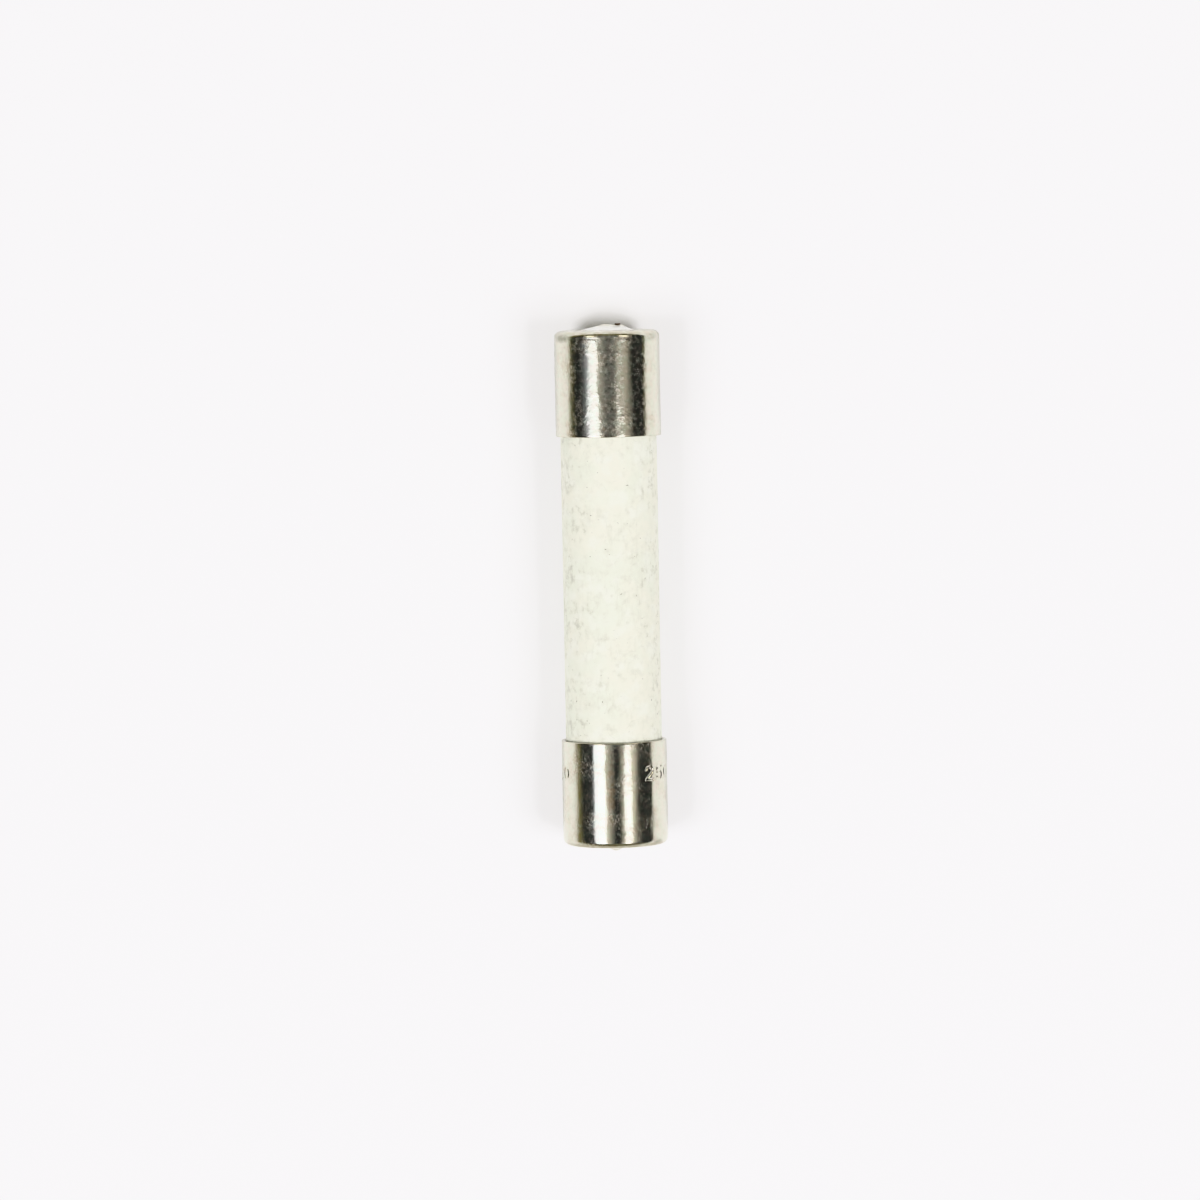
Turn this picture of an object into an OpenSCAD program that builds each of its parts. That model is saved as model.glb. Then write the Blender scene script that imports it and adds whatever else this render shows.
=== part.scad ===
// Ceramic cartridge fuse of the 6.3 x 32 mm size.
// Two drawn metal end caps are pressed on a ceramic tube. The tube is packed with quartz sand round
// a fuse wire that is wound on a glass-fibre core, and a washer at each end keeps the sand in.
// A solder joint in each cap holds the wire, fills the hole in the cap's end and stands out of it
// as a bead. The fuse lies along Y with its centre at the origin. Lengths are in millimetres.

/* [End caps] */
// Distance between the end faces of the two caps, without the solder beads
cap_to_cap = 31; // [28:0.1:36]
// Outside diameter of a cap, which the fuse clip grips
cap_d = 6.35; // [6.1:0.05:7]
// Length of a cap from its end face to its open rim
cap_length = 6.35; // [5:0.05:8]
// Thickness of a cap's side wall
cap_wall = 0.275; // [0.2:0.005:0.4]
// Thickness of a cap's end wall
cap_end_wall = 0.3; // [0.2:0.05:0.5]
// Outside radius where the side wall turns into the end wall
cap_corner_r = 0.4; // [0.35:0.05:0.7]
// Inside radius at the same corner
cap_inner_corner_r = 0.25; // [0.1:0.05:0.3]
// Diameter of the hole in the end wall
cap_hole_d = 2; // [1.8:0.1:2.4]
// Length of the mouth that is closed in towards the tube
mouth_length = 0.4; // [0.3:0.05:0.8]
// How far the mouth is closed in, on each side
mouth_close_in = 0.01; // [0:0.01:0.06]
// Rounding on the outer edge of the rim
rim_edge_r = 0.06; // [0.05:0.01:0.12]
// Depth of the lead-in that is cut inside the rim
rim_lead_in = 0.08; // [0.04:0.01:0.1]
// Gap on each side between a cap's bore and the tube, which is 0 for a press fit
cap_fit = 0; // [0:0.005:0.03]

/* [Ceramic tube] */
// Diameter of the tube's bore
tube_bore_d = 3.8; // [3:0.1:4.4]
// Rounding on the outer edge of each tube end
tube_edge_r = 0.25; // [0.1:0.05:0.4]

/* [Solder joints] */
// Thickness of the solder between the tube's end and the cap's end wall
solder_bed = 0.35; // [0.25:0.05:0.6]
// Depth of the solder inside the tube's bore
solder_plug = 0.9; // [0.5:0.1:2]
// Diameter of the broad bead outside the plain cap
plain_bead_d = 3.3; // [2.8:0.1:4]
// Height of the broad bead outside the plain cap
plain_bead_h = 0.28; // [0.2:0.02:0.36]
// Diameter of the crest on that bead
plain_crest_d = 2; // [1.6:0.1:2.6]
// Height of the crest above the cap's end face
plain_crest_h = 0.4; // [0.38:0.02:0.5]
// How far the crest stands away from the wire's side of the bead
plain_crest_offset = 0.1; // [0:0.05:0.3]
// Diameter of the bead outside the stamped cap
stamped_bead_d = 2.6; // [2.6:0.1:3.2]
// Height of the bead outside the stamped cap
stamped_bead_h = 0.22; // [0.16:0.02:0.3]
// Diameter of the crest on that bead
stamped_crest_d = 1.4; // [1:0.1:1.8]
// Height of the crest above the cap's end face
stamped_crest_h = 0.4; // [0.32:0.02:0.5]

/* [Fuse wire] */
// Diameter of the fuse wire
wire_d = 0.34; // [0.24:0.02:0.4]
// Diameter of the glass-fibre core that the wire is wound on
core_d = 0.95; // [0.7:0.05:1]
// Whole turns of the wire round the core
wire_turns = 10; // [6:1:16]
// Share of the winding over which the wire eases from its straight leg into its pitch
wire_ease = 0.12; // [0.05:0.01:0.3]
// Straight stretch of wire between a washer and the winding
wire_lead = 0.4; // [0.2:0.1:1.5]
// Height of the clipped wire end above the plain cap's end face
plain_wire_tip = 0.38; // [0.3:0.01:0.4]
// Depth of the wire end below the stamped cap's end face
stamped_wire_tip = 0.1; // [0.05:0.05:0.25]
// Gap between the wire and its core
wire_gap = 0.01; // [0:0.005:0.03]

/* [Sand and washers] */
// Thickness of the washer at each end of the sand
washer_t = 0.4; // [0.2:0.1:0.8]
// Gap between the winding and the passage through the sand and the washers
passage_gap = 0.05; // [0.02:0.01:0.1]

/* [Hidden] */

$fn = 96;
wire_sides = 8;
rings_per_turn = 14;
cut = 0.5; // how far a cutting shape runs past the face that it cuts
bead_root = 0.02; // how far the solder in a cap's hole reaches up into its bead, to be one with it

cap_r = cap_d / 2;
cap_bore_r = cap_r - cap_wall;
cap_hole_r = cap_hole_d / 2;
tube_r = cap_bore_r - cap_fit;
tube_bore_r = tube_bore_d / 2;
wire_r = wire_d / 2;
core_r = core_d / 2;
// The wire is straight between two rings of its mesh, so it winds just wide enough to clear the core.
winding_r = (core_r + wire_gap + wire_r) / cos(180 / rings_per_turn);
passage_r = winding_r + wire_r + passage_gap;

// Places along the fuse, measured from its centre. Both halves are alike.
face_y = cap_to_cap / 2;
rim_y = face_y - cap_length;
cap_floor_y = face_y - cap_end_wall;
tube_end_y = cap_floor_y - solder_bed;
bed_middle_y = cap_floor_y - solder_bed / 2;
plug_end_y = tube_end_y - solder_plug;
sand_end_y = plug_end_y - washer_t;
winding_end_y = sand_end_y - wire_lead;

// Turns what was made along Z so that it runs along +Y.
module along_y() rotate([-90, 0, 0]) children();

// Puts a piece that was made for the +Y end on the -Y end, by turning the fuse round.
module turned_round() rotate([0, 0, 180]) children();

// Half-section of a plain round piece: across is its radius, up is the way along the fuse.
module round_section(r, from_y, to_y) translate([0, from_y]) square([r, to_y - from_y]);

// A spherical bead that stands on z = 0.
module dome(base_d, height) {
    ball_r = (base_d * base_d / 4 + height * height) / (2 * height);
    rotate_extrude() intersection() {
        translate([0, height - ball_r]) circle(r = ball_r);
        square([base_d, height]);
    }
}

// Half-section of the room inside a cap: across is the radius, up is the way to the end face.
module cap_room_section() {
    corner_r = cap_inner_corner_r;
    round_section(cap_bore_r - corner_r, 0, cap_floor_y);
    round_section(cap_bore_r, 0, cap_floor_y - corner_r);
    translate([cap_bore_r - corner_r, cap_floor_y - corner_r]) circle(r = corner_r);
}

// Half-section of a cap's outer form, from its closed-in mouth to the rounded corner.
module cap_outer_section() {
    rim_r = cap_r - mouth_close_in;
    mouth_y = rim_y + mouth_length;
    round_section(cap_r - cap_corner_r, mouth_y, face_y);
    round_section(cap_r, mouth_y, face_y - cap_corner_r);
    translate([cap_r - cap_corner_r, face_y - cap_corner_r]) circle(r = cap_corner_r);
    polygon([
        [0, rim_y], [rim_r - rim_edge_r, rim_y], [rim_r, rim_y + rim_edge_r],
        [cap_r, mouth_y], [0, mouth_y]
    ]);
    translate([rim_r - rim_edge_r, rim_y + rim_edge_r]) circle(r = rim_edge_r);
}

module ceramic_tube() color("ivory") along_y() rotate_extrude() difference() {
    edge_y = tube_end_y - tube_edge_r;
    union() {
        round_section(tube_r - tube_edge_r, -tube_end_y, tube_end_y);
        round_section(tube_r, -edge_y, edge_y);
        for (end_y = [-edge_y, edge_y])
            translate([tube_r - tube_edge_r, end_y]) circle(r = tube_edge_r);
    }
    round_section(tube_bore_r, -tube_end_y - cut, tube_end_y + cut);
}

module end_cap() color("silver") along_y() rotate_extrude() difference() {
    cap_outer_section();
    cap_room_section();
    round_section(cap_hole_r, 0, face_y + cut);
    polygon([
        [0, rim_y - cut], [cap_bore_r + rim_lead_in, rim_y - cut],
        [cap_bore_r + rim_lead_in, rim_y], [cap_bore_r, rim_y + rim_lead_in],
        [0, rim_y + rim_lead_in]
    ]);
}

// The solder of one end. Its bead is given as children that stand on the cap's end face, and the
// wire's leg runs through it as far as wire_tip_y.
module solder_joint(wire_tip_y) color("lightgray") along_y() difference() {
    union() {
        rotate_extrude() {
            intersection() {
                cap_room_section();
                round_section(cap_r, tube_end_y, cap_floor_y + cut);
            }
            round_section(tube_bore_r, plug_end_y, bed_middle_y);
            round_section(cap_hole_r, bed_middle_y, face_y + bead_root);
        }
        translate([0, 0, face_y]) children();
    }
    translate([0, 0, plug_end_y - cut]) cylinder(r = core_r, h = solder_plug + cut);
    translate([winding_r, 0, plug_end_y - cut])
        cylinder(r = wire_r, h = wire_tip_y - plug_end_y + cut);
}

module plain_cap_solder() solder_joint(face_y + plain_crest_h + cut) {
    dome(plain_bead_d, plain_bead_h);
    translate([-plain_crest_offset, 0, 0]) dome(plain_crest_d, plain_crest_h);
}

// Its wire leg is on the other side, because this end is turned round to -Y afterwards.
module stamped_cap_solder() turned_round() rotate([0, 180, 0])
    solder_joint(face_y - stamped_wire_tip) {
        dome(stamped_bead_d, stamped_bead_h);
        dome(stamped_crest_d, stamped_crest_h);
    }

// A ring that fills the tube's bore and leaves the winding's passage free.
module bore_filling(from_y, to_y) along_y() rotate_extrude() difference() {
    round_section(tube_bore_r, from_y, to_y);
    round_section(passage_r, from_y - cut, to_y + cut);
}

module washer() color("tan") bore_filling(sand_end_y, plug_end_y);

module quartz_sand() color("wheat") bore_filling(-sand_end_y, sand_end_y);

module winding_core() color("white") along_y()
    translate([0, 0, -tube_end_y]) cylinder(r = core_r, h = 2 * tube_end_y);

// Share of the turns that is wound at the share s of the winding's length. The slope rises from
// nothing over wire_ease, stays, and falls to nothing again over wire_ease.
function wound(s) =
    s < wire_ease ? s * s / (2 * wire_ease * (1 - wire_ease))
    : s > 1 - wire_ease ? 1 - wound(1 - s)
    : (s - wire_ease / 2) / (1 - wire_ease);

// The slope of wound(s).
function winding_rate(s) = min(s, 1 - s, wire_ease) / (wire_ease * (1 - wire_ease));

// One ring of points round the wire at the height y, where the wire stands at angle round the core
// and climbs the core by turn_per_mm.
function wire_ring(y, angle, turn_per_mm) =
    let (
        out = [cos(angle), 0, sin(angle)],
        sweep = 2 * PI * winding_r * turn_per_mm,
        along = [-sweep * sin(angle), 1, sweep * cos(angle)] / norm([sweep, 1]),
        side = cross(along, out)
    )
    [for (k = [0 : wire_sides - 1])
        winding_r * out + [0, y, 0]
            + wire_r * (cos(360 * k / wire_sides) * out + sin(360 * k / wire_sides) * side)];

module fuse_wire() {
    steps = wire_turns * rings_per_turn;
    winding_length = 2 * winding_end_y;
    rings = [
        wire_ring(stamped_wire_tip - face_y, 0, 0),
        for (i = [0 : steps])
            wire_ring(
                i / steps * winding_length - winding_end_y,
                360 * wire_turns * wound(i / steps),
                wire_turns * winding_rate(i / steps) / winding_length
            ),
        wire_ring(face_y + plain_wire_tip, 0, 0)
    ];
    last = len(rings) - 1;
    color("peru") polyhedron(
        points = [for (ring = rings) each ring],
        faces = [
            [for (k = [0 : wire_sides - 1]) k],
            [for (k = [wire_sides - 1 : -1 : 0]) last * wire_sides + k],
            for (i = [0 : last - 1], k = [0 : wire_sides - 1])
                let (
                    a = i * wire_sides + k,
                    b = i * wire_sides + (k + 1) % wire_sides
                )
                each [[a, a + wire_sides, b], [b, a + wire_sides, b + wire_sides]]
        ]
    );
}

ceramic_tube();
end_cap();  // plain_cap
turned_round() end_cap();  // stamped_cap
plain_cap_solder();
stamped_cap_solder();
washer();  // plain_end_washer
turned_round() washer();  // stamped_end_washer
quartz_sand();
winding_core();
fuse_wire();
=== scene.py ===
import math

import bpy
import numpy as np
from mathutils import Matrix, Vector


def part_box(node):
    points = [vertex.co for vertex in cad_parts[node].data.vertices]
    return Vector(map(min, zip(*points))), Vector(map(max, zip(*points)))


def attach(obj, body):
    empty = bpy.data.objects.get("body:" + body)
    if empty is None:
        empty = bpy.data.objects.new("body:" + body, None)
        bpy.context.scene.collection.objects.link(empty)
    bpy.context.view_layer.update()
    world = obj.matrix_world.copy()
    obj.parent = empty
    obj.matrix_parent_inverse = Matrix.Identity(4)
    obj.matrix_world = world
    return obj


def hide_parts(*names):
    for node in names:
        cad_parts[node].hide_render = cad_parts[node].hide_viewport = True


# A ceramic cartridge fuse that lies along Y on a pale floor, seen from above. Shapes are worked out
# in millimetres and turned into metres where a mesh is made. An angle round the fuse is 0 at the
# top (+Z) and grows towards +X.

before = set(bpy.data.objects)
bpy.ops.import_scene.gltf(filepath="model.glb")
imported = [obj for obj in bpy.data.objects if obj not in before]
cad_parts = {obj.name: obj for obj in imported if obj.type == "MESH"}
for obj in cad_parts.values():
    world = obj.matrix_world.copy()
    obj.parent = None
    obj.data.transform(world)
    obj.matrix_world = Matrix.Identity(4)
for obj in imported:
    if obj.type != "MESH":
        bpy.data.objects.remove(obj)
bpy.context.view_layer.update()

MM = 0.001
rng = np.random.default_rng(63)


def span(node):
    """Lowest and highest corner of a CAD node in millimetres."""
    low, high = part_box(node)
    return low / MM, high / MM


cap_low, cap_high = span("plain_cap")
solder_low, solder_high = span("plain_cap_solder")
_, tube_high = span("ceramic_tube")
_, sand_high = span("quartz_sand")
_, core_high = span("winding_core")
_, wire_high = span("fuse_wire")

CAP_R = cap_high.x
FACE_Y = cap_high.y
RIM_Y = cap_low.y
TUBE_R = tube_high.x
TUBE_END_Y = tube_high.y
BORE_R = sand_high.x
PLUG_END_Y = solder_low.y
BEAD_TOP = solder_high.y - FACE_Y
CORE_R = core_high.x
WIRE_END_Y = wire_high.y

# Sizes of the solids that no node's box gives
WIRE_R = 0.17
CAP_END_WALL = 0.3
CAP_INNER_CORNER_R = 0.25
CAP_HOLE_R = 1.0
RIM_EDGE_R = 0.06
RIM_LEAD_IN = 0.08
TUBE_EDGE_R = 0.25

WINDING_R = wire_high.x - WIRE_R
CAP_FLOOR_Y = FACE_Y - CAP_END_WALL


# Camera

IMAGE_SIDE = 1200
PHOTO_SCALE = 16.49  # pixels in a millimetre of the floor, at the middle of the photograph
CAMERA_HEIGHT = 425.0  # above the floor
CAMERA_ROLL = math.radians(1.07)
FUSE_CENTRE_PX = (611.2, 584.3)  # where a lens straight above would show the fuse's centre
FOOT_PX = (606.0, 150.0)  # the point of the floor that is straight below the lens
SENSOR = 36.0


def floor_point(px):
    """Place on the floor, from the fuse's centre, of a pixel of the photograph."""
    right = Vector((math.cos(CAMERA_ROLL), -math.sin(CAMERA_ROLL)))
    up = Vector((math.sin(CAMERA_ROLL), math.cos(CAMERA_ROLL)))
    across = (px[0] - FUSE_CENTRE_PX[0]) / PHOTO_SCALE
    upwards = (FUSE_CENTRE_PX[1] - px[1]) / PHOTO_SCALE
    return right * across + up * upwards


def make_camera():
    """A camera with the photograph's view: its place comes from where it stands over the floor."""
    foot = floor_point(FOOT_PX)
    aim = floor_point((IMAGE_SIDE / 2, IMAGE_SIDE / 2))
    place = Vector((foot.x, foot.y, CAMERA_HEIGHT - CAP_R)) * MM
    target = Vector((aim.x, aim.y, -CAP_R)) * MM
    back = (place - target).normalized()
    up = Vector((math.sin(CAMERA_ROLL), math.cos(CAMERA_ROLL), 0))
    right = up.cross(back).normalized()
    up = back.cross(right)
    data = bpy.data.cameras.new("camera")
    data.sensor_width = SENSOR
    data.lens = SENSOR * PHOTO_SCALE / IMAGE_SIDE * (place - target).length / MM
    data.clip_start = 0.01
    camera = bpy.data.objects.new("camera", data)
    camera.matrix_world = Matrix.Translation(place) @ Matrix((right, up, back)).transposed().to_4x4()
    bpy.context.scene.collection.objects.link(camera)
    bpy.context.scene.camera = camera


make_camera()


# Light

LIGHT_DISTANCE = 0.7  # metres from the fuse to the middle of a softbox


def softbox(name, angles, fades, reach, radiance, color, seen_by):
    """A rectangular light over the fuse that fades out towards its two long edges.

    angles are those edges as the fuse sees them, in degrees from the vertical and positive towards
    +X, fades are the widths of the two fades in degrees, and reach gives the light's ends along Y in
    metres. A light is seen_by MIRROR, the shiny surfaces that mirror it, or by MATT, the matt ones."""
    middle = math.radians(sum(angles) / 2)
    whole = angles[1] - angles[0]
    facing = Vector((math.sin(middle), 0, math.cos(middle)))
    along = Vector((0, 1, 0))
    data = bpy.data.lights.new(name, "AREA")
    data.shape = "RECTANGLE"
    data.size = 2 * LIGHT_DISTANCE * math.tan(math.radians(whole) / 2)
    data.size_y = reach[1] - reach[0]
    data.energy = radiance * math.pi * data.size * data.size_y
    data.color = color
    data.use_nodes = True
    tree = data.node_tree
    across = tree.nodes.new("ShaderNodeSeparateXYZ")
    tree.links.new(tree.nodes.new("ShaderNodeNewGeometry").outputs["Parametric"], across.inputs["Vector"])
    strength = tree.nodes.new("ShaderNodeMath")
    strength.operation = "MULTIPLY"
    for socket, edge, inside in zip(strength.inputs, (0.0, 1.0), (fades[0] / whole, 1 - fades[1] / whole)):
        fade = tree.nodes.new("ShaderNodeMapRange")
        fade.interpolation_type = "SMOOTHSTEP"
        fade.inputs["From Min"].default_value = edge
        fade.inputs["From Max"].default_value = inside
        tree.links.new(across.outputs["X"], fade.inputs["Value"])
        tree.links.new(fade.outputs["Result"], socket)
    tree.links.new(strength.outputs[0], tree.nodes["Emission"].inputs["Strength"])
    light = bpy.data.objects.new(name, data)
    rotation = Matrix((along.cross(facing), along, facing)).transposed().to_4x4()
    light.matrix_world = Matrix.Translation(facing * LIGHT_DISTANCE + along * sum(reach) / 2) @ rotation
    light.visible_glossy = seen_by == "MIRROR"
    light.visible_diffuse = seen_by == "MATT"
    bpy.context.scene.collection.objects.link(light)


COOL = (0.86, 0.885, 1.0)
WARM = (1.0, 0.93, 0.78)
NEUTRAL = (0.98, 0.965, 0.975)
IVORY = (1.0, 0.97, 0.92)
softbox("left_softbox", (-42.5, -19.5), (14.0, 8.0), (-0.6, -0.045), 4.6, COOL, "MIRROR")
softbox("upper_left_box", (-45.0, -18.5), (17.0, 10.0), (-0.045, 0.035), 2.1, NEUTRAL, "MIRROR")
softbox("left_side", (-49.0, -19.0), (8.0, 6.0), (-0.6, -0.03), 3.2, COOL, "MIRROR")
softbox("left_skirt", (-64.0, -34.0), (24.0, 5.0), (-0.03, 0.035), 0.58, COOL, "MIRROR")
softbox("left_halo", (-27.0, 0.0), (6.0, 20.0), (-0.6, -0.045), 0.85, WARM, "MIRROR")
softbox("upper_left_halo", (-27.0, -2.0), (6.0, 18.0), (-0.045, 0.03), 0.38, WARM, "MIRROR")
softbox("right_softbox", (19.0, 37.5), (8.0, 6.0), (-0.6, -0.060), 5.4, COOL, "MIRROR")
softbox("right_skirt", (8.0, 54.0), (12.0, 18.0), (-0.6, -0.055), 0.52, WARM, "MIRROR")
softbox("right_halo", (13.0, 58.5), (17.0, 22.0), (-0.6, 0.02), 0.60, WARM, "MIRROR")
softbox("upper_halo", (-28.0, 30.0), (10.0, 10.0), (-0.03, 0.5), 0.20, IVORY, "MIRROR")
softbox("left_far_box", (-50.0, -26.0), (6.0, 6.0), (0.14, 0.6), 3.0, WARM, "MIRROR")
softbox("right_far_box", (28.0, 52.0), (6.0, 6.0), (0.14, 0.6), 3.0, WARM, "MIRROR")
softbox("left_key", (-46.0, -20.0), (0.5, 0.5), (-0.33, -0.012), 14.6, NEUTRAL, "MATT")
softbox("right_key", (20.0, 46.0), (0.5, 0.5), (-0.33, -0.012), 15.6, NEUTRAL, "MATT")


ROOM_DIM = (0.080, 0.082, 0.090)
ROOM_FAR = (0.34, 0.32, 0.25)
ROOM_GLOW = (0.42, 0.39, 0.21)
ROOM_HORIZON = (0.30, 0.29, 0.20)
FILL = (0.50, 0.49, 0.51)
FILL_FAR = (0.46, 0.45, 0.35)
BACKDROP_FOOT = (0.85, 0.85, 0.86)
BACKDROP = (1.1, 1.1, 1.12)


def make_world():
    """Soft fill for matt surfaces, a little warmer from +Y, and a white backdrop for the camera.

    What metal mirrors is a dim room. It is paler far along Y, low down on the -X side a little off the
    plane Y = 0, and at the horizon close to that plane."""
    world = bpy.data.worlds.new("studio")
    bpy.context.scene.world = world
    world.use_nodes = True
    tree = world.node_tree
    tree.nodes.clear()
    rays = tree.nodes.new("ShaderNodeLightPath")
    place = tree.nodes.new("ShaderNodeTexCoord")
    way = tree.nodes.new("ShaderNodeSeparateXYZ")
    tree.links.new(place.outputs["Generated"], way.inputs["Vector"])

    def ramp(socket, low, high):
        made = tree.nodes.new("ShaderNodeMapRange")
        made.interpolation_type = "SMOOTHSTEP"
        made.inputs["From Min"].default_value = low
        made.inputs["From Max"].default_value = high
        tree.links.new(socket, made.inputs["Value"])
        return made.outputs["Result"]

    def math_node(operation, *values):
        made = tree.nodes.new("ShaderNodeMath")
        made.operation = operation
        for socket, value in zip(made.inputs, values):
            tree.links.new(value, socket)
        return made.outputs[0]

    def blend(share, first, second):
        made = tree.nodes.new("ShaderNodeMix")
        made.data_type = "RGBA"
        tree.links.new(share, made.inputs["Factor"])
        for socket, value in ((made.inputs["A"], first), (made.inputs["B"], second)):
            if isinstance(value, bpy.types.NodeSocket):
                tree.links.new(value, socket)
            else:
                socket.default_value = (*value, 1)
        return made.outputs["Result"]

    low_down = ramp(way.outputs["Z"], 0.30, 0.0)
    on_the_left = ramp(way.outputs["X"], 0.6, 0.1)
    off_axis = math_node("ABSOLUTE", way.outputs["Y"])
    glow = math_node("MULTIPLY", low_down, math_node("MULTIPLY", on_the_left, ramp(off_axis, 0.0, 0.11)))
    horizon = math_node("MULTIPLY", ramp(way.outputs["Z"], 0.12, 0.0), ramp(off_axis, 0.12, 0.02))
    room = blend(ramp(off_axis, 0.5, 0.9), ROOM_DIM, ROOM_FAR)
    room = blend(glow, room, ROOM_GLOW)
    room = blend(horizon, room, ROOM_HORIZON)
    fill = blend(ramp(way.outputs["Y"], -0.1, 0.7), FILL, FILL_FAR)
    lit = blend(rays.outputs["Is Glossy Ray"], fill, room)
    backdrop = blend(ramp(way.outputs["Z"], 0.0, 0.06), BACKDROP_FOOT, BACKDROP)
    seen = blend(rays.outputs["Is Camera Ray"], lit, backdrop)
    background = tree.nodes.new("ShaderNodeBackground")
    output = tree.nodes.new("ShaderNodeOutputWorld")
    tree.links.new(seen, background.inputs["Color"])
    tree.links.new(background.outputs["Background"], output.inputs["Surface"])


make_world()
bpy.context.scene.view_settings.view_transform = "Khronos PBR Neutral"


# Material tools


class Paint:
    """Builds one procedural material round a Principled shader, in millimetre coordinates."""

    def __init__(self, name, roughness, metallic=0.0, **constants):
        self.material = bpy.data.materials.new(name)
        self.material.use_nodes = True
        self.tree = self.material.node_tree
        self.shader = self.tree.nodes["Principled BSDF"]
        self.shader.inputs["Metallic"].default_value = metallic
        self.shader.inputs["Roughness"].default_value = roughness
        for socket, value in constants.items():
            self.shader.inputs[socket.replace("_", " ")].default_value = value
        place = self.node("ShaderNodeTexCoord")
        self.mm = self.node("ShaderNodeVectorMath", operation="SCALE", Vector=place.outputs["Object"],
                            Scale=1 / MM).outputs["Vector"]

    def node(self, kind, **values):
        """Adds a node. A value is a node setting or, with a capital letter, an input or a link to it."""
        made = self.tree.nodes.new(kind)
        for key, value in values.items():
            if key[0].islower():
                setattr(made, key, value)
        for key, value in values.items():
            if not key[0].islower():
                self.put(made.inputs[key.replace("_", " ")], value)
        return made

    def put(self, socket, value):
        if isinstance(value, bpy.types.NodeSocket):
            self.tree.links.new(value, socket)
        else:
            socket.default_value = value

    def math(self, operation, first, second=0.0, clamp=False):
        made = self.tree.nodes.new("ShaderNodeMath")
        made.operation = operation
        made.use_clamp = clamp
        self.put(made.inputs[0], first)
        self.put(made.inputs[1], second)
        return made.outputs[0]

    def scaled(self, value, times, plus):
        return self.math("ADD", self.math("MULTIPLY", value, times), plus)

    def noise(self, scale, detail=2.0, roughness=0.5, stretch=(1, 1, 1), offset=(0, 0, 0)):
        """Noise of about 0 to 1 with scale features in a millimetre."""
        place = self.node("ShaderNodeMapping", Vector=self.mm, Scale=stretch, Location=offset)
        made = self.node("ShaderNodeTexNoise", Vector=place.outputs["Vector"], Scale=scale,
                         Detail=detail, Roughness=roughness)
        return made.outputs["Fac"]

    def distance(self, centre, size):
        """Distance from a place, as a share of size along each axis."""
        away = self.node("ShaderNodeMapping", vector_type="TEXTURE", Vector=self.mm,
                         Location=centre, Scale=size).outputs["Vector"]
        return self.node("ShaderNodeVectorMath", operation="LENGTH", Vector=away).outputs["Value"]

    def step(self, value, low, high):
        """0 below low, 1 above high and smooth between. High may be the smaller one."""
        made = self.node("ShaderNodeMapRange", interpolation_type="SMOOTHSTEP", Value=value)
        made.inputs["From Min"].default_value = low
        made.inputs["From Max"].default_value = high
        return made.outputs["Result"]

    def blend(self, share, first, second):
        made = self.tree.nodes.new("ShaderNodeMix")
        made.data_type = "RGBA"
        self.put(made.inputs["Factor"], share)
        for socket, value in ((made.inputs["A"], first), (made.inputs["B"], second)):
            self.put(socket, value if isinstance(value, bpy.types.NodeSocket) else (*value, 1))
        return made.outputs["Result"]

    def bump(self, height, depth, below=None):
        """Relief of the given depth in millimetres where height goes from 0 to 1."""
        values = {"Height": height, "Distance": depth * MM, "Strength": 1.0}
        if below is not None:
            values["Normal"] = below
        return self.node("ShaderNodeBump", **values).outputs["Normal"]

    def finish(self, color, roughness=None, normal=None):
        self.put(self.shader.inputs["Base Color"], color)
        if roughness is not None:
            self.put(self.shader.inputs["Roughness"], roughness)
        if normal is not None:
            self.put(self.shader.inputs["Normal"], normal)
        return self.material


# Materials


TARNISH_STREAK = ((-0.25, -12.0, 3.17), (0.4, 2.6, 0.5))  # its centre and its size
# Grey patches that darken three corners of the caps
CAP_CORNER_PATCHES = (  # centre, size, share of the size that is darkest, strength
    ((-2.75, 15.08, 1.7), (0.9, 0.36, 1.3), 0.2, 1.0),
    ((2.7, 15.1, 1.7), (0.6, 0.3, 1.0), 0.3, 0.5),
    ((2.6, -15.25, 1.9), (0.5, 0.3, 0.8), 0.3, 0.8),
)


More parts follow.
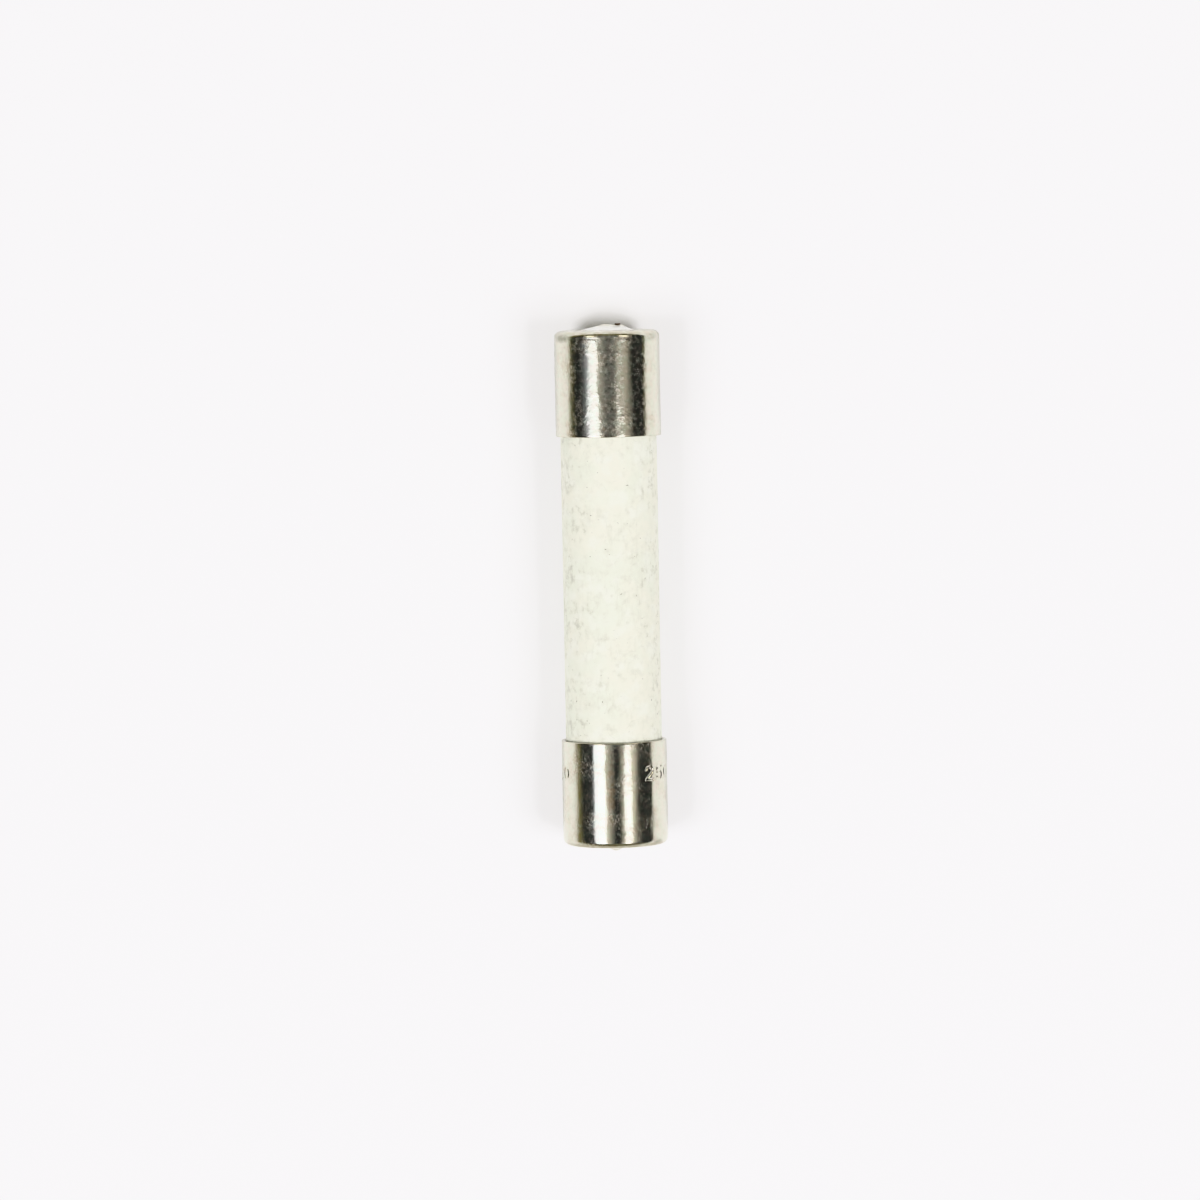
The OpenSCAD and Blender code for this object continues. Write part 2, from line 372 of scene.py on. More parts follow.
def nickel_paint():
    """Bright nickel plate on drawn brass: fine grain, draw lines along the cap, a dull film and stains.

    The film is cloudy on the plain cap and specked on the stamped one. Brass shows where the plate has
    worn thin at the rims. The corners are coloured darker and browner, most at the stamped end, and
    three of them have grey patches."""
    plate, greenish_plate = (0.56, 0.535, 0.465), (0.54, 0.555, 0.472)
    brown_stain, patch_grey = (0.44, 0.345, 0.235), (0.22, 0.215, 0.165)
    dark_olive, stamped_corner_brown = (0.37, 0.335, 0.24), (0.27, 0.245, 0.165)
    paint = Paint("nickel_plate", 0.2, metallic=1.0)
    place = paint.node("ShaderNodeSeparateXYZ", Vector=paint.mm)
    along = paint.math("ABSOLUTE", place.outputs["Y"])
    from_axis = paint.math("POWER", paint.math("ADD", paint.math("POWER", place.outputs["X"], 2.0),
                                               paint.math("POWER", place.outputs["Z"], 2.0)), 0.5)
    corner = paint.math("MULTIPLY", paint.step(along, FACE_Y - 0.34, FACE_Y - 0.14),
                        paint.step(from_axis, CAP_R - 0.75, CAP_R - 0.4))
    rim = paint.step(along, RIM_Y + 0.10, RIM_Y + 0.02)
    stamped_end = paint.step(place.outputs["Y"], 1.0, -1.0)
    plain_end = paint.math("SUBTRACT", 1.0, stamped_end)
    uneven = paint.step(paint.noise(2.4, 3.0, 0.6, offset=(6, 2, 3)), 0.34, 0.60)
    # worn plate at the rims; the corners are coloured darker, those at the stamped end most
    rim_wear_and_dark_corners = paint.math("MULTIPLY", paint.math("ADD", corner, rim, clamp=True), uneven)
    stamped_corner_darkening = paint.math("MULTIPLY", paint.math("MULTIPLY", corner, stamped_end),
                      paint.scaled(uneven, 0.35, 0.65))
    patches = paint.step(paint.noise(0.8, 3.0), 0.42, 0.62)
    lines = paint.noise(9.0, 3.0, stretch=(1, 0.05, 1))
    streaks = paint.step(paint.noise(3.0, 3.0, stretch=(1, 0.22, 1), offset=(2, 6, 4)), 0.42, 0.70)
    grain = paint.noise(4.0, 1.5, 0.5)
    clouds = paint.step(paint.noise(4.5, 1.5, 0.55, offset=(1, 9, 4)), 0.38, 0.80)
    specks = paint.step(paint.noise(10.0, 2.0, 0.6, stretch=(1, 0.6, 1), offset=(7, 2, 6)), 0.42, 0.74)
    film = paint.math("ADD", paint.math("MULTIPLY", clouds, plain_end),
                      paint.math("MULTIPLY", specks, stamped_end))
    film = paint.math("MULTIPLY", film, paint.scaled(patches, 0.5, 0.5))
    hue = paint.step(paint.noise(2.6, 2.0, 0.6, offset=(5, 1, 8)), 0.40, 0.60)
    tarnish = paint.step(paint.distance(*TARNISH_STREAK), 1.0, 0.3)
    tarnish = paint.math("ADD", tarnish, paint.math("MULTIPLY", patches, 0.4), clamp=True)
    tarnish = paint.math("MULTIPLY", tarnish, paint.step(paint.noise(2.2, 4.0, offset=(9, 4, 2)), 0.36, 0.58))
    # grey darkening at the listed cap corners
    corner_patches = 0.0
    for centre, size, darkest, strength in CAP_CORNER_PATCHES:
        spot = paint.step(paint.distance(centre, size), 1.0, darkest)
        corner_patches = paint.math("ADD", corner_patches, paint.math("MULTIPLY", spot, strength))
    corner_patches = paint.math("MULTIPLY", corner_patches, paint.step(paint.noise(4.0, 3.0, offset=(4, 4, 1)), 0.24, 0.50))
    color = paint.blend(hue, plate, greenish_plate)
    color = paint.blend(paint.math("MULTIPLY", tarnish, 0.65), color, brown_stain)
    color = paint.blend(paint.math("MULTIPLY", corner_patches, 0.85), color, patch_grey)
    color = paint.blend(paint.math("MULTIPLY", rim_wear_and_dark_corners, 0.45), color, dark_olive)
    # darker brown colour at the stamped end's corners
    color = paint.blend(paint.math("MULTIPLY", stamped_corner_darkening, 0.9), color, stamped_corner_brown)
    roughness = paint.scaled(streaks, 0.05, 0.10)
    for share, added in ((patches, 0.05), (film, 0.10), (stamped_corner_darkening, 0.12), (tarnish, 0.08)):
        roughness = paint.math("ADD", roughness, paint.math("MULTIPLY", share, added))
    metallic = paint.math("SUBTRACT", 1.0, paint.math("MULTIPLY", film, 0.15))
    paint.put(paint.shader.inputs["Metallic"], metallic)
    side_wall = paint.step(along, FACE_Y - 0.02, FACE_Y - 0.15)
    relief = paint.math("MULTIPLY", grain, paint.math("ADD", patches, 0.35))
    relief = paint.math("MULTIPLY", relief, paint.scaled(side_wall, 0.8, 0.2))
    relief = paint.math("MULTIPLY", relief, paint.scaled(plain_end, 0.45, 0.55))
    normal = paint.bump(relief, 0.0085, paint.bump(lines, 0.001))
    return paint.finish(color, roughness, normal)


def ceramic_paint():
    """Off-white fired ceramic with green, cream and white clouds, grey smudges, streaks, hairs and specks."""
    greenish, cream = (0.60, 0.62, 0.54), (0.65, 0.645, 0.565)
    shaded, white = (0.56, 0.57, 0.49), (0.67, 0.68, 0.615)
    grey, dark_grey, black = (0.42, 0.42, 0.36), (0.33, 0.33, 0.28), (0.20, 0.20, 0.17)
    paint = Paint("ceramic", 0.5, Specular_IOR_Level=0.25)
    color = paint.blend(paint.step(paint.noise(0.45, 3.0), 0.38, 0.62), greenish, cream)
    mottle = paint.step(paint.noise(3.0, 3.0, 0.6, offset=(3, 3, 8)), 0.34, 0.66)
    color = paint.blend(paint.math("MULTIPLY", mottle, 0.5), color, shaded)
    clouds = paint.step(paint.noise(0.9, 3.0, offset=(5, 5, 5)), 0.48, 0.66)
    color = paint.blend(paint.math("MULTIPLY", clouds, 0.7), color, white)
    patches = paint.step(paint.noise(0.7, 2.0, offset=(2, 8, 4)), 0.36, 0.58)
    smudges = paint.step(paint.noise(2.2, 5.0, 0.62), 0.42, 0.82)
    streaks = paint.step(paint.noise(4.0, 5.0, 0.65, stretch=(1, 0.2, 1), offset=(4, 0, 9)), 0.48, 0.82)
    curve = paint.math("ABSOLUTE", paint.math("SUBTRACT", paint.noise(0.55, 2.0, offset=(1, 7, 2)), 0.5))
    hairs = paint.math("MULTIPLY", paint.step(curve, 0.009, 0.003),
                       paint.step(paint.noise(0.8, 2.0, offset=(8, 1, 5)), 0.54, 0.66))
    specks = paint.step(paint.noise(4.5, 1.0, offset=(7, 3, 1)), 0.74, 0.79)
    dirt = paint.math("MULTIPLY", paint.math("ADD", smudges, streaks, clamp=True), patches)
    dirt = paint.math("ADD", dirt, paint.math("MULTIPLY", smudges, 0.25), clamp=True)
    color = paint.blend(paint.math("MULTIPLY", dirt, 0.95), color, grey)
    color = paint.blend(paint.math("MULTIPLY", hairs, 0.4), color, dark_grey)
    color = paint.blend(paint.math("MULTIPLY", specks, 0.75), color, black)
    roughness = paint.scaled(dirt, -0.12, 0.58)
    skin = paint.bump(paint.noise(3.0, 3.0), 0.006)
    grain = paint.bump(paint.noise(16.0, 3.0), 0.0015, skin)
    return paint.finish(color, roughness, grain)


def solder_paint():
    """Frosted tin solder, duller on its crest, with painted shade at its thin edge and at the stamped end."""
    bright, frosted = (0.86, 0.86, 0.84), (0.74, 0.74, 0.72)
    crest_tint, stamped_end_shade, edge_shade = (0.64, 0.62, 0.55), (0.45, 0.43, 0.36), (0.42, 0.40, 0.33)
    paint = Paint("solder", 0.3, metallic=0.6)
    along = paint.node("ShaderNodeSeparateXYZ", Vector=paint.mm).outputs["Y"]
    from_middle = paint.math("ABSOLUTE", along)
    frost = paint.step(paint.noise(3.2, 3.0), 0.38, 0.66)
    crystals = paint.noise(8.0, 3.0, 0.6)
    crest = paint.step(from_middle, FACE_Y + 0.14, FACE_Y + 0.34)
    # painted contact shade: the bead's edge, where it meets the cap, is coloured darker
    edge = paint.step(from_middle, FACE_Y + 0.05, FACE_Y)
    stamped_end = paint.step(along, 1.0 - FACE_Y, -FACE_Y - 0.05)
    color = paint.blend(frost, bright, frosted)
    color = paint.blend(crest, color, crest_tint)
    # painted shade: the bead at the stamped end is coloured darker
    color = paint.blend(paint.math("MULTIPLY", stamped_end, 0.7), color, stamped_end_shade)
    color = paint.blend(paint.math("MULTIPLY", edge, 0.6), color, edge_shade)
    roughness = paint.scaled(frost, 0.18, 0.30)
    normal = paint.bump(crystals, 0.004, paint.bump(paint.noise(2.5, 2.0), 0.03))
    return paint.finish(color, roughness, normal)


def wire_paint():
    """Tinned copper wire, dark and bare where it was clipped beyond the cap."""
    tin, copper, dark_copper = (0.74, 0.70, 0.64), (0.70, 0.50, 0.36), (0.13, 0.085, 0.065)
    paint = Paint("tinned_wire", 0.35, metallic=1.0)
    along = paint.node("ShaderNodeSeparateXYZ", Vector=paint.mm).outputs["Y"]
    clipped = paint.step(along, FACE_Y + 0.18, FACE_Y + 0.3)
    blotches = paint.noise(6.0, 3.0)
    color = paint.blend(paint.step(blotches, 0.4, 0.65), tin, copper)
    color = paint.blend(clipped, color, dark_copper)
    roughness = paint.scaled(blotches, 0.25, 0.3)
    return paint.finish(color, roughness, paint.bump(paint.noise(20.0, 2.0), 0.002))


def fibre_paint():
    """Twisted white glass fibre of the winding's core."""
    grey, white = (0.70, 0.70, 0.66), (0.90, 0.90, 0.87)
    paint = Paint("glass_fibre", 0.45)
    strands = paint.noise(9.0, 3.0, 0.65, stretch=(1, 0.25, 1))
    color = paint.blend(strands, grey, white)
    return paint.finish(color, paint.scaled(strands, 0.2, 0.4), paint.bump(strands, 0.02))


def sand_paint():
    """Grains of quartz, from pale to tan, with some amber ones and dark gaps."""
    pale, tan, amber, gap = (0.82, 0.77, 0.66), (0.66, 0.60, 0.50), (0.55, 0.40, 0.24), (0.30, 0.27, 0.22)
    paint = Paint("quartz_sand", 0.6)
    grains = paint.node("ShaderNodeTexVoronoi", Vector=paint.mm, Scale=5.0)
    tint = paint.node("ShaderNodeSeparateColor", Color=grains.outputs["Color"])
    color = paint.blend(tint.outputs["Red"], pale, tan)
    color = paint.blend(paint.step(tint.outputs["Green"], 0.75, 0.8), color, amber)
    shade = paint.step(grains.outputs["Distance"], 0.35, 0.6)
    color = paint.blend(paint.math("MULTIPLY", shade, 0.5), color, gap)
    rounded = paint.math("SUBTRACT", 1.0, grains.outputs["Distance"])
    return paint.finish(color, paint.scaled(tint.outputs["Blue"], 0.3, 0.4), paint.bump(rounded, 0.08))


def washer_paint():
    """Brown vulcanised fibre."""
    dark_brown, light_brown = (0.30, 0.19, 0.10), (0.48, 0.34, 0.20)
    paint = Paint("fibre_washer", 0.7)
    fibres = paint.noise(8.0, 4.0, 0.65, stretch=(1, 3, 0.5))
    color = paint.blend(fibres, dark_brown, light_brown)
    return paint.finish(color, paint.scaled(fibres, 0.2, 0.6), paint.bump(fibres, 0.015))


FLOOR_WHITES = ((0.84, 0.84, 0.855), (0.855, 0.855, 0.87))
FLOOR_SHADE = (0.50, 0.48, 0.41)
FLOOR_SHADE_LEFT = (0.42, 0.405, 0.34)


def floor_paint():
    """Smooth white board. In what the metal mirrors and in the light that the board throws back it
    darkens away from the fuse, most at -X, and is white again far out."""
    paint = Paint("white_board", 0.75, Specular_IOR_Level=0.2)
    across = paint.node("ShaderNodeSeparateXYZ", Vector=paint.mm).outputs["X"]
    aside = paint.math("ABSOLUTE", across)
    near = paint.step(aside, 500.0, 250.0)
    both = paint.math("MULTIPLY", paint.step(aside, -60.0, 300.0), near)
    left = paint.math("MULTIPLY", paint.step(across, -12.0, -120.0), near)
    white = paint.blend(paint.noise(0.09, 3.0), *FLOOR_WHITES)
    tone = paint.blend(both, white, FLOOR_SHADE)
    tone = paint.blend(left, tone, FLOOR_SHADE_LEFT)
    tone = paint.blend(paint.node("ShaderNodeLightPath").outputs["Is Camera Ray"], tone, white)
    return paint.finish(tone, None, paint.bump(paint.noise(2.2, 3.0), 0.01))


# Mesh tools


def piece(name, points, faces, material, *, replaces=None):
    """Makes a smooth piece of points in millimetres. replaces is the CAD node that it stands for."""
    mesh = bpy.data.meshes.new(name)
    mesh.vertices.add(len(points))
    mesh.vertices.foreach_set("co", (np.asarray(points) * MM).astype(np.float32).ravel())
    sizes = np.array([len(face) for face in faces])
    mesh.loops.add(int(sizes.sum()))
    mesh.loops.foreach_set("vertex_index", np.concatenate(faces).astype(np.int32))
    mesh.polygons.add(len(faces))
    mesh.polygons.foreach_set("loop_start", np.concatenate(([0], np.cumsum(sizes)[:-1])).astype(np.int32))
    mesh.polygons.foreach_set("use_smooth", np.ones(len(faces), bool))
    mesh.update(calc_edges=True)
    mesh.validate()
    mesh.materials.append(material)
    made = bpy.data.objects.new(name, mesh)
    bpy.context.scene.collection.objects.link(made)
    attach(made, "root")
    if replaces:
        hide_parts(replaces)
    return made


def turned(angles, rows, *, turned_round=False, poles=False):
    """Points and faces of a section that is turned round the Y axis.

    rows is an array of (radius, place along Y) for each row and angle, with the section listed so
    that the solid lies to its left. With poles, the first and the last row lie on the axis."""
    radius, along = rows
    points = np.stack((radius * np.sin(angles), along, radius * np.cos(angles)), axis=-1)
    if turned_round:
        points = points * (-1, -1, 1)
    count_rows, count = radius.shape
    index = np.arange(count_rows * count).reshape(count_rows, count)
    following = np.roll(index, -1, axis=1)
    if not poles:
        above = np.roll(index, -1, axis=0)
        above_next = np.roll(above, -1, axis=1)
        quads = np.stack((index, following, above_next, above), axis=-1).reshape(-1, 4)
        return points.reshape(-1, 3), list(quads)
    flat = points.reshape(-1, 3)[count - 1 : (count_rows - 1) * count + 1]
    index = index[1:-1] - (count - 1)
    following = following[1:-1] - (count - 1)
    quads = np.stack((index[:-1], following[:-1], following[1:], index[1:]), axis=-1).reshape(-1, 4)
    last = len(flat) - 1
    bottom = np.stack((np.zeros(count, int), following[0], index[0]), axis=-1)
    top = np.stack((index[-1], following[-1], np.full(count, last)), axis=-1)
    return flat, list(bottom) + list(quads) + list(top)


def full_turn(count):
    """Even angles from -180 degrees."""
    return np.linspace(-math.pi, math.pi, count, endpoint=False)


def spread(section, count):
    """Radius and place along Y of a section's points, as rows with count angles."""
    return np.repeat(section[:, :1], count, axis=1), np.repeat(section[:, 1:], count, axis=1)


def bend(centre, radii, start, end, steps):
    """Points of an elliptic arc between two angles in degrees, in a section or in a digit."""
    turns = np.radians(np.linspace(start, end, steps))
    return [(centre[0] + radii[0] * math.cos(t), centre[1] + radii[1] * math.sin(t)) for t in turns]


def arc(centre, radius, start, end, steps):
    """Points of a circular arc in a section, each as (radius from the axis, along)."""
    return bend(centre, (radius, radius), start, end, steps)


def line(start, end, step):
    """Points from start up to, but without, end, no more than step apart."""
    count = max(1, math.ceil(math.dist(start, end) / step))
    return [tuple(np.array(start) + (np.array(end) - np.array(start)) * k / count) for k in range(count)]


def waves(angles, along, counts, climbs, height):
    """Smooth ripples round the fuse: a sum of cosine waves with random counts and climbs."""
    total = np.zeros(np.broadcast(angles, along).shape)
    for count in counts:
        climb = rng.uniform(*climbs) * rng.choice((-1, 1))
        total += np.cos(count * angles + climb * along + rng.uniform(0, 2 * math.pi))
    return total * height / math.sqrt(len(counts))


def dents(angles, along, number, low_y, high_y, sizes, depths):
    """Shallow round dents, with sizes and depths as ranges in millimetres. The result isn't positive."""
    total = np.zeros(np.broadcast(angles, along).shape)
    for _ in range(number):
        at_angle = rng.uniform(-math.pi, math.pi)
        at_y = rng.uniform(low_y, high_y)
        size = rng.uniform(*sizes)
        squeeze = rng.uniform(0.5, 1.0)
        depth = rng.uniform(*depths)
        across = CAP_R * ((angles - at_angle + math.pi) % (2 * math.pi) - math.pi)
        total -= depth * np.exp(-((across / size / squeeze) ** 2) - ((along - at_y) / size) ** 2)
    return total


# Stamped numbers

STAMP_HEIGHT = 0.76
STAMP_WIDTH = 0.55
STAMP_STROKE = 0.0825  # half the width of a stroke
STAMP_DEPTH = 0.045
STAMP_PITCH = math.radians(16.0)
STAMP_Y = -(RIM_Y + 1.9)  # middle of the line of numbers
STAMPS = (("250", math.radians(41.0)), ("20", math.radians(-82.0)))  # with the first digit's angle
STAMP_MARGIN = math.radians(7.0)  # beyond the middles of the first and last digit


def stamp_zones():
    """Ranges of the angles that the numbers take up, which run the other way round on the turned cap."""
    zones = []
    for text, first in STAMPS:
        last = first + (len(text) - 1) * STAMP_PITCH
        zones.append((-last - STAMP_MARGIN, STAMP_MARGIN - first))
    return zones


DIGITS = {  # paths in shares of the digit's width and height
    "0": [bend((0.5, 0.5), (0.5, 0.5), 0, 360, 30)],
    "2": [bend((0.5, 0.72), (0.46, 0.28), 165, -40, 14) + [(0.05, 0.0), (1.0, 0.0)]],
    "5": [[(0.92, 1.0), (0.14, 1.0), (0.06, 0.56)] + bend((0.46, 0.34), (0.5, 0.34), 130, -150, 14)],
}


def distance_to_path(u, v, path):
    """Distance of each point (u, v) from a path of straight pieces."""
    nearest = np.full(u.shape, np.inf)
    for (u0, v0), (u1, v1) in zip(path, path[1:]):
        du, dv = u1 - u0, v1 - v0
        share = np.clip(((u - u0) * du + (v - v0) * dv) / (du * du + dv * dv), 0, 1)
        nearest = np.minimum(nearest, np.hypot(u - u0 - share * du, v - v0 - share * dv))
    return nearest


def stamp(angles, along):
    """Depth of the stamped numbers, upright with +Y up and read towards +X. The result isn't positive."""
    total = np.zeros(np.broadcast(angles, along).shape)
    for text, first_angle in STAMPS:
        for place, digit in enumerate(text):
            u = CAP_R * (angles - first_angle - place * STAMP_PITCH) + STAMP_WIDTH / 2
            v = along - STAMP_Y + STAMP_HEIGHT / 2
            u, v = np.broadcast_arrays(u, v)
            for path in DIGITS[digit]:
                scaled = [(a * STAMP_WIDTH, b * STAMP_HEIGHT) for a, b in path]
                near = distance_to_path(u, v, scaled)
                groove = np.clip(1 - (near / STAMP_STROKE) ** 2, 0, 1)
                total = np.minimum(total, -STAMP_DEPTH * groove ** 0.8)
    return total


# End caps

SIDE_STEP = 0.08  # between the rows of a cap's side
STAMP_STEP = 0.03
STAMP_REACH = 0.55  # of the close rows, on both sides of the middle of the numbers
GROOVE_STEP = 0.022
FACE_STEP = 0.14
COLUMN_STEP = math.radians(0.85)
STAMP_COLUMN_STEP = math.radians(0.35)
SURFACE_DROP = 0.006  # keeps the ripples below the solid's surface
RIM_WAVE = 0.012
RIM_WAVE_REACH = 0.25  # along the fuse
CORNER_WIDTH = 0.52  # of the worn corner, across the fuse
PLAIN_CORNER_LENGTH = 0.37  # of the same corner, along the fuse
STAMPED_CORNER_LENGTH = 0.45
PLAIN_DENTS = 120
STAMPED_DENTS = 50
GROOVE_FROM_FACE = 0.42  # middle of the shallow ring where the cap's corner meets its side
GROOVE_SIZE = 0.065
GROOVE_DEPTH = 0.003


def cap_section(corner_length, fine_low, fine_high):
    """Section of a cap at the +Y end, as outer points and inner points.

    The rows of the side are close together from fine_low to fine_high and round the groove."""
    corner = (CAP_R - CORNER_WIDTH, FACE_Y - corner_length)
    inner_corner = (TUBE_R - CAP_INNER_CORNER_R, CAP_FLOOR_Y - CAP_INNER_CORNER_R)
    outer = arc((CAP_R - RIM_EDGE_R, RIM_Y + RIM_EDGE_R), RIM_EDGE_R, -90, 0, 7)[:-1]
    stops = [(RIM_Y + RIM_EDGE_R, SIDE_STEP), (fine_low, STAMP_STEP), (fine_high, SIDE_STEP),
             (FACE_Y - GROOVE_FROM_FACE - 2.5 * GROOVE_SIZE, GROOVE_STEP)]
    ends = [stop for stop, _ in stops[1:]] + [corner[1]]
    for (low, step), high in zip(stops, ends):
        outer += line((CAP_R, low), (CAP_R, high), step)
    outer += bend(corner, (CORNER_WIDTH, corner_length), 0, 90, 20)
    outer += line((corner[0], FACE_Y), (CAP_HOLE_R, FACE_Y), FACE_STEP)[1:]
    inner = [(CAP_HOLE_R, FACE_Y), (CAP_HOLE_R, FACE_Y - CAP_END_WALL / 2)]
    inner += line((CAP_HOLE_R, CAP_FLOOR_Y), (inner_corner[0], CAP_FLOOR_Y), 0.4)
    inner += arc(inner_corner, CAP_INNER_CORNER_R, 90, 0, 5)
    inner += line((TUBE_R, inner_corner[1]), (TUBE_R, RIM_Y + RIM_LEAD_IN), 1.0)[1:]
    inner += [(TUBE_R, RIM_Y + RIM_LEAD_IN), (TUBE_R + RIM_LEAD_IN, RIM_Y)]
    return np.array(outer), np.array(inner)


def cap_columns(fine_zones):
    """Angles of a cap's columns from -180 degrees, closer together in the fine zones."""
    ends = np.linspace(-math.pi, math.pi, 20001)
    density = np.full(len(ends) - 1, 1 / COLUMN_STEP)
    middles = (ends[:-1] + ends[1:]) / 2
    for low, high in fine_zones:
        density[(middles > low) & (middles < high)] = 1 / STAMP_COLUMN_STEP
    total = np.concatenate(([0], np.cumsum(density * np.diff(ends))))
    count = int(total[-1])
    return np.interp(np.arange(count) / count * total[-1], total, ends)


def make_cap(name, material, corner_length, dent_count, *, turned_round, fine_zones=(), relief=None):
    """A drawn cap, slightly out of round, with fine ripples, dents and a wavy rim.

    relief(angles, along) is what is stamped into its side, and fine_zones are the angles that it needs."""
    fine_y = abs(STAMP_Y)
    outer, inner = cap_section(corner_length, fine_y - STAMP_REACH, fine_y + STAMP_REACH)
    angles = cap_columns(fine_zones)
    section = np.concatenate((outer, inner))
    radius, along = spread(section, len(angles))
    side = -1 if turned_round else 1
    fuse_angles = side * angles[None, :]
    wall = np.zeros(len(section))
    wall[: len(outer)] = np.clip((outer[:, 0] - (CAP_R - CORNER_WIDTH)) / (0.7 * CORNER_WIDTH), 0, 1)
    wall = wall[:, None]
    shape = waves(fuse_angles, along, range(2, 5), (0, 0.2), 0.003)
    shape += waves(fuse_angles, along, range(9, 34, 2), (0.1, 1.2), 0.0012)
    shape += dents(fuse_angles, along, dent_count, RIM_Y, FACE_Y, (0.05, 0.2), (0.0005, 0.003))
    ring = np.exp(-0.5 * ((along - (FACE_Y - GROOVE_FROM_FACE)) / GROOVE_SIZE) ** 2)
    uneven = 1 + waves(fuse_angles, 0 * along, range(3, 12), (0, 0), 0.5)
    shape -= GROOVE_DEPTH * ring * uneven
    if relief is not None:
        shape += relief(fuse_angles, side * along)
    radius = np.minimum(radius + wall * (shape - SURFACE_DROP), section[:, :1])
    rim = np.exp(-((along - RIM_Y) / RIM_WAVE_REACH))
    along = along + wall * rim * waves(fuse_angles, 0 * along, range(2, 9), (0, 0), RIM_WAVE)
    along = np.clip(along, RIM_Y, FACE_Y)
    points, faces = turned(angles, (radius, along), turned_round=turned_round)
    return piece(name + "_shell", points, faces, material, replaces=name)


# Solder joints

SOLDER_COLUMNS = 200
BEAD_ROWS = 56


def make_solder(name, material, bead_edge, bead_height, *, turned_round):
    """The solder of one end. bead_height(x, z) is the bead's height above the cap's end face."""
    angles = full_turn(SOLDER_COLUMNS)
    shares = np.sin(np.linspace(math.pi / 2, 0, BEAD_ROWS))
    edge = bead_edge(angles)
    room_r = TUBE_R - CAP_INNER_CORNER_R
    hidden = [
        (0, TUBE_END_Y), (CORE_R, TUBE_END_Y), (CORE_R, PLUG_END_Y), (BORE_R, PLUG_END_Y),
        (BORE_R, TUBE_END_Y), (TUBE_R, TUBE_END_Y), (TUBE_R, CAP_FLOOR_Y - CAP_INNER_CORNER_R),
    ]
    hidden += arc((room_r, CAP_FLOOR_Y - CAP_INNER_CORNER_R), CAP_INNER_CORNER_R, 0, 90, 5)[1:]
    hidden += [(CAP_HOLE_R, CAP_FLOOR_Y), (CAP_HOLE_R, FACE_Y)]
    hidden = np.array(hidden)
    radius = np.concatenate((spread(hidden, SOLDER_COLUMNS)[0], shares[:, None] * edge[None, :]))
    side = -1 if turned_round else 1
    x = side * radius * np.sin(angles)
    z = radius * np.cos(angles)
    along = FACE_Y + bead_height(x, z, edge[None, :])
    along[: len(hidden)] = hidden[:, 1:]
    points, faces = turned(angles, (radius, along), turned_round=turned_round, poles=True)
    return piece(name + "_bead", points, faces, material, replaces=name)


def hill(x, z, at_x, at_z, size, height):
    """Height of a soft round hill at each place (x, z)."""
    return height * np.exp(-((x - at_x) ** 2 + (z - at_z) ** 2) / size ** 2)


def plain_bead_edge(angles):
    """Distance of the bead's uneven edge from the axis."""
    return 1.62 + 0.05 * np.cos(angles - 0.4) + 0.035 * np.cos(3 * angles + 1) + 0.02 * np.cos(5 * angles)


def plain_bead_height(x, z, edge):
    """Broad bead with a crest, a shoulder past the wire and solder drawn up round the wire."""
    rest = 1 - np.clip(np.hypot(x, z) / edge, 0, 1) ** 2
    height = 0.22 * rest ** 0.9
    height = height + rest * hill(x, z, -0.05, -0.05, 0.6, 0.14)
    height = height + rest * hill(x, z, 1.0, 0.05, 0.33, 0.16)
    height = height + hill(x, z, WINDING_R, 0, 0.28, 0.06) - rest * hill(x, z, 0.3, 0.75, 0.16, 0.05)
    return np.minimum(height, BEAD_TOP)


def stamped_bead_edge(angles):
    """Distance of the bead's edge from the axis, closer to round than the plain cap's."""
    return 1.28 + 0.04 * np.cos(2 * angles + 0.7) + 0.03 * np.cos(3 * angles)


def stamped_bead_height(x, z, edge):
    """Low bead with a small round crest."""
    rest = 1 - np.clip(np.hypot(x, z) / edge, 0, 1) ** 2
    height = 0.20 * rest ** 0.8 + rest * hill(x, z, 0.02, 0.03, 0.42, 0.2)
    return np.minimum(height, BEAD_TOP)


# Wire end

WIRE_END_COVER = 0.005  # by which the round end is wider than the wire in it
WIRE_END_EDGE = 0.012  # radius of its edge
WIRE_END_ROOT = 0.1  # how deep it reaches into the cap's solder
WIRE_END_COLUMNS = 64
BURR = 0.004


def make_wire_end(material):
    """Clipped end of the fuse wire that stands out of the plain cap's solder, with a slightly burred face."""
    angles = full_turn(WIRE_END_COLUMNS)
    radius = WIRE_R + WIRE_END_COVER
    inner = radius - WIRE_END_EDGE
    tip = WIRE_END_Y + WIRE_END_EDGE
    foot = FACE_Y - WIRE_END_ROOT
    section = [(0, foot), (radius, foot)]
    section += line((radius, foot), (radius, tip - WIRE_END_EDGE), 0.04)[1:]
    section += arc((inner, tip - WIRE_END_EDGE), WIRE_END_EDGE, 0, 90, 4)
    section += line((inner, tip), (0, tip), 0.02)[1:] + [(0, tip)]
    around, along = spread(np.array(section), WIRE_END_COLUMNS)
    burr = waves(angles[None, :], 0 * along, range(1, 6), (0, 0), BURR) * (around / radius)
    along = np.where(along > tip - 0.001, np.clip(along + burr, tip - WIRE_END_EDGE, tip), along)
    points, faces = turned(angles, (around, along), poles=True)
    return piece("wire_end", points + (WINDING_R, 0, 0), faces, material)


# Ceramic tube

TUBE_COLUMNS = 360
TUBE_ROW_STEP = 0.2
TUBE_DROP = 0.01  # keeps the ripples below the solid's surface


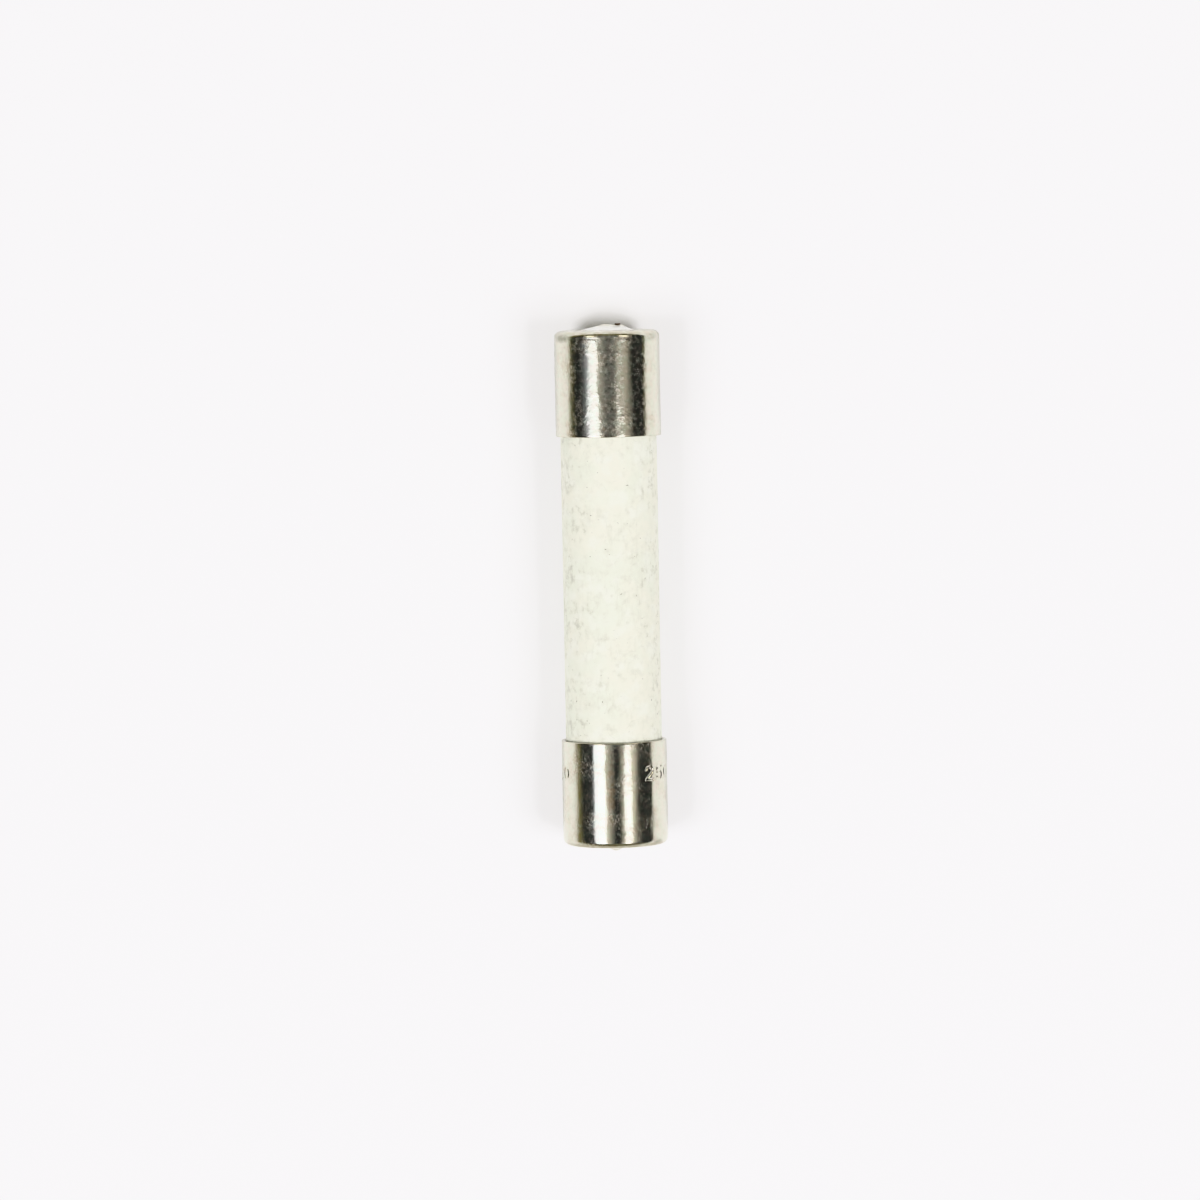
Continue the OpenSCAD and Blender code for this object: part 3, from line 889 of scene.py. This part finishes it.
def make_tube(material):
    """The ceramic tube, slightly out of round, with rounded ends."""
    angles = full_turn(TUBE_COLUMNS)
    edge = (TUBE_R - TUBE_EDGE_R, TUBE_END_Y - TUBE_EDGE_R)
    section = [(edge[0], -TUBE_END_Y)]
    section += arc((edge[0], -edge[1]), TUBE_EDGE_R, -90, 0, 7)[1:]
    section += line((TUBE_R, -edge[1]), (TUBE_R, edge[1]), TUBE_ROW_STEP)[1:]
    section += arc(edge, TUBE_EDGE_R, 0, 90, 7)
    section += line((BORE_R, TUBE_END_Y), (BORE_R, -TUBE_END_Y), 3.0)
    section += [(BORE_R, -TUBE_END_Y)]
    section = np.array(section)
    radius, along = spread(section, TUBE_COLUMNS)
    outside = np.clip((section[:, :1] - edge[0]) / TUBE_EDGE_R, 0, 1)
    shape = waves(angles[None, :], along, range(2, 7), (0.05, 0.4), 0.005)
    shape += waves(angles[None, :], along, range(6, 22, 3), (0.4, 2.0), 0.0012)
    radius = np.minimum(radius + outside * (shape - TUBE_DROP), section[:, :1])
    points, faces = turned(angles, (radius, along))
    return piece("ceramic_tube_body", points, faces, material,
                 replaces="ceramic_tube")


# The object

nickel = nickel_paint()
solder = solder_paint()
make_tube(ceramic_paint())
make_cap("plain_cap", nickel, PLAIN_CORNER_LENGTH, PLAIN_DENTS, turned_round=False)
make_cap("stamped_cap", nickel, STAMPED_CORNER_LENGTH, STAMPED_DENTS, turned_round=True, relief=stamp,
         fine_zones=stamp_zones())
make_solder("plain_cap_solder", solder, plain_bead_edge, plain_bead_height, turned_round=False)
make_solder("stamped_cap_solder", solder, stamped_bead_edge, stamped_bead_height, turned_round=True)

tinned_wire = wire_paint()
make_wire_end(tinned_wire)
for nodes, paint in (
    (["fuse_wire"], tinned_wire),
    (["winding_core"], fibre_paint()),
    (["quartz_sand"], sand_paint()),
    (["plain_end_washer", "stamped_end_washer"], washer_paint()),
):
    for node in nodes:
        for material_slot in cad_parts[node].material_slots:
            material_slot.material = paint


# Floor

FLOOR_HALF = 3.0  # half of its side, in metres


def make_floor():
    """A square floor that the caps lie on."""
    mesh = bpy.data.meshes.new("floor")
    level = -CAP_R * MM
    signs = ((-1, -1), (1, -1), (1, 1), (-1, 1))
    mesh.from_pydata([(x * FLOOR_HALF, y * FLOOR_HALF, level) for x, y in signs], [], [(0, 1, 2, 3)])
    mesh.materials.append(floor_paint())
    floor = bpy.data.objects.new("floor", mesh)
    bpy.context.scene.collection.objects.link(floor)


make_floor()
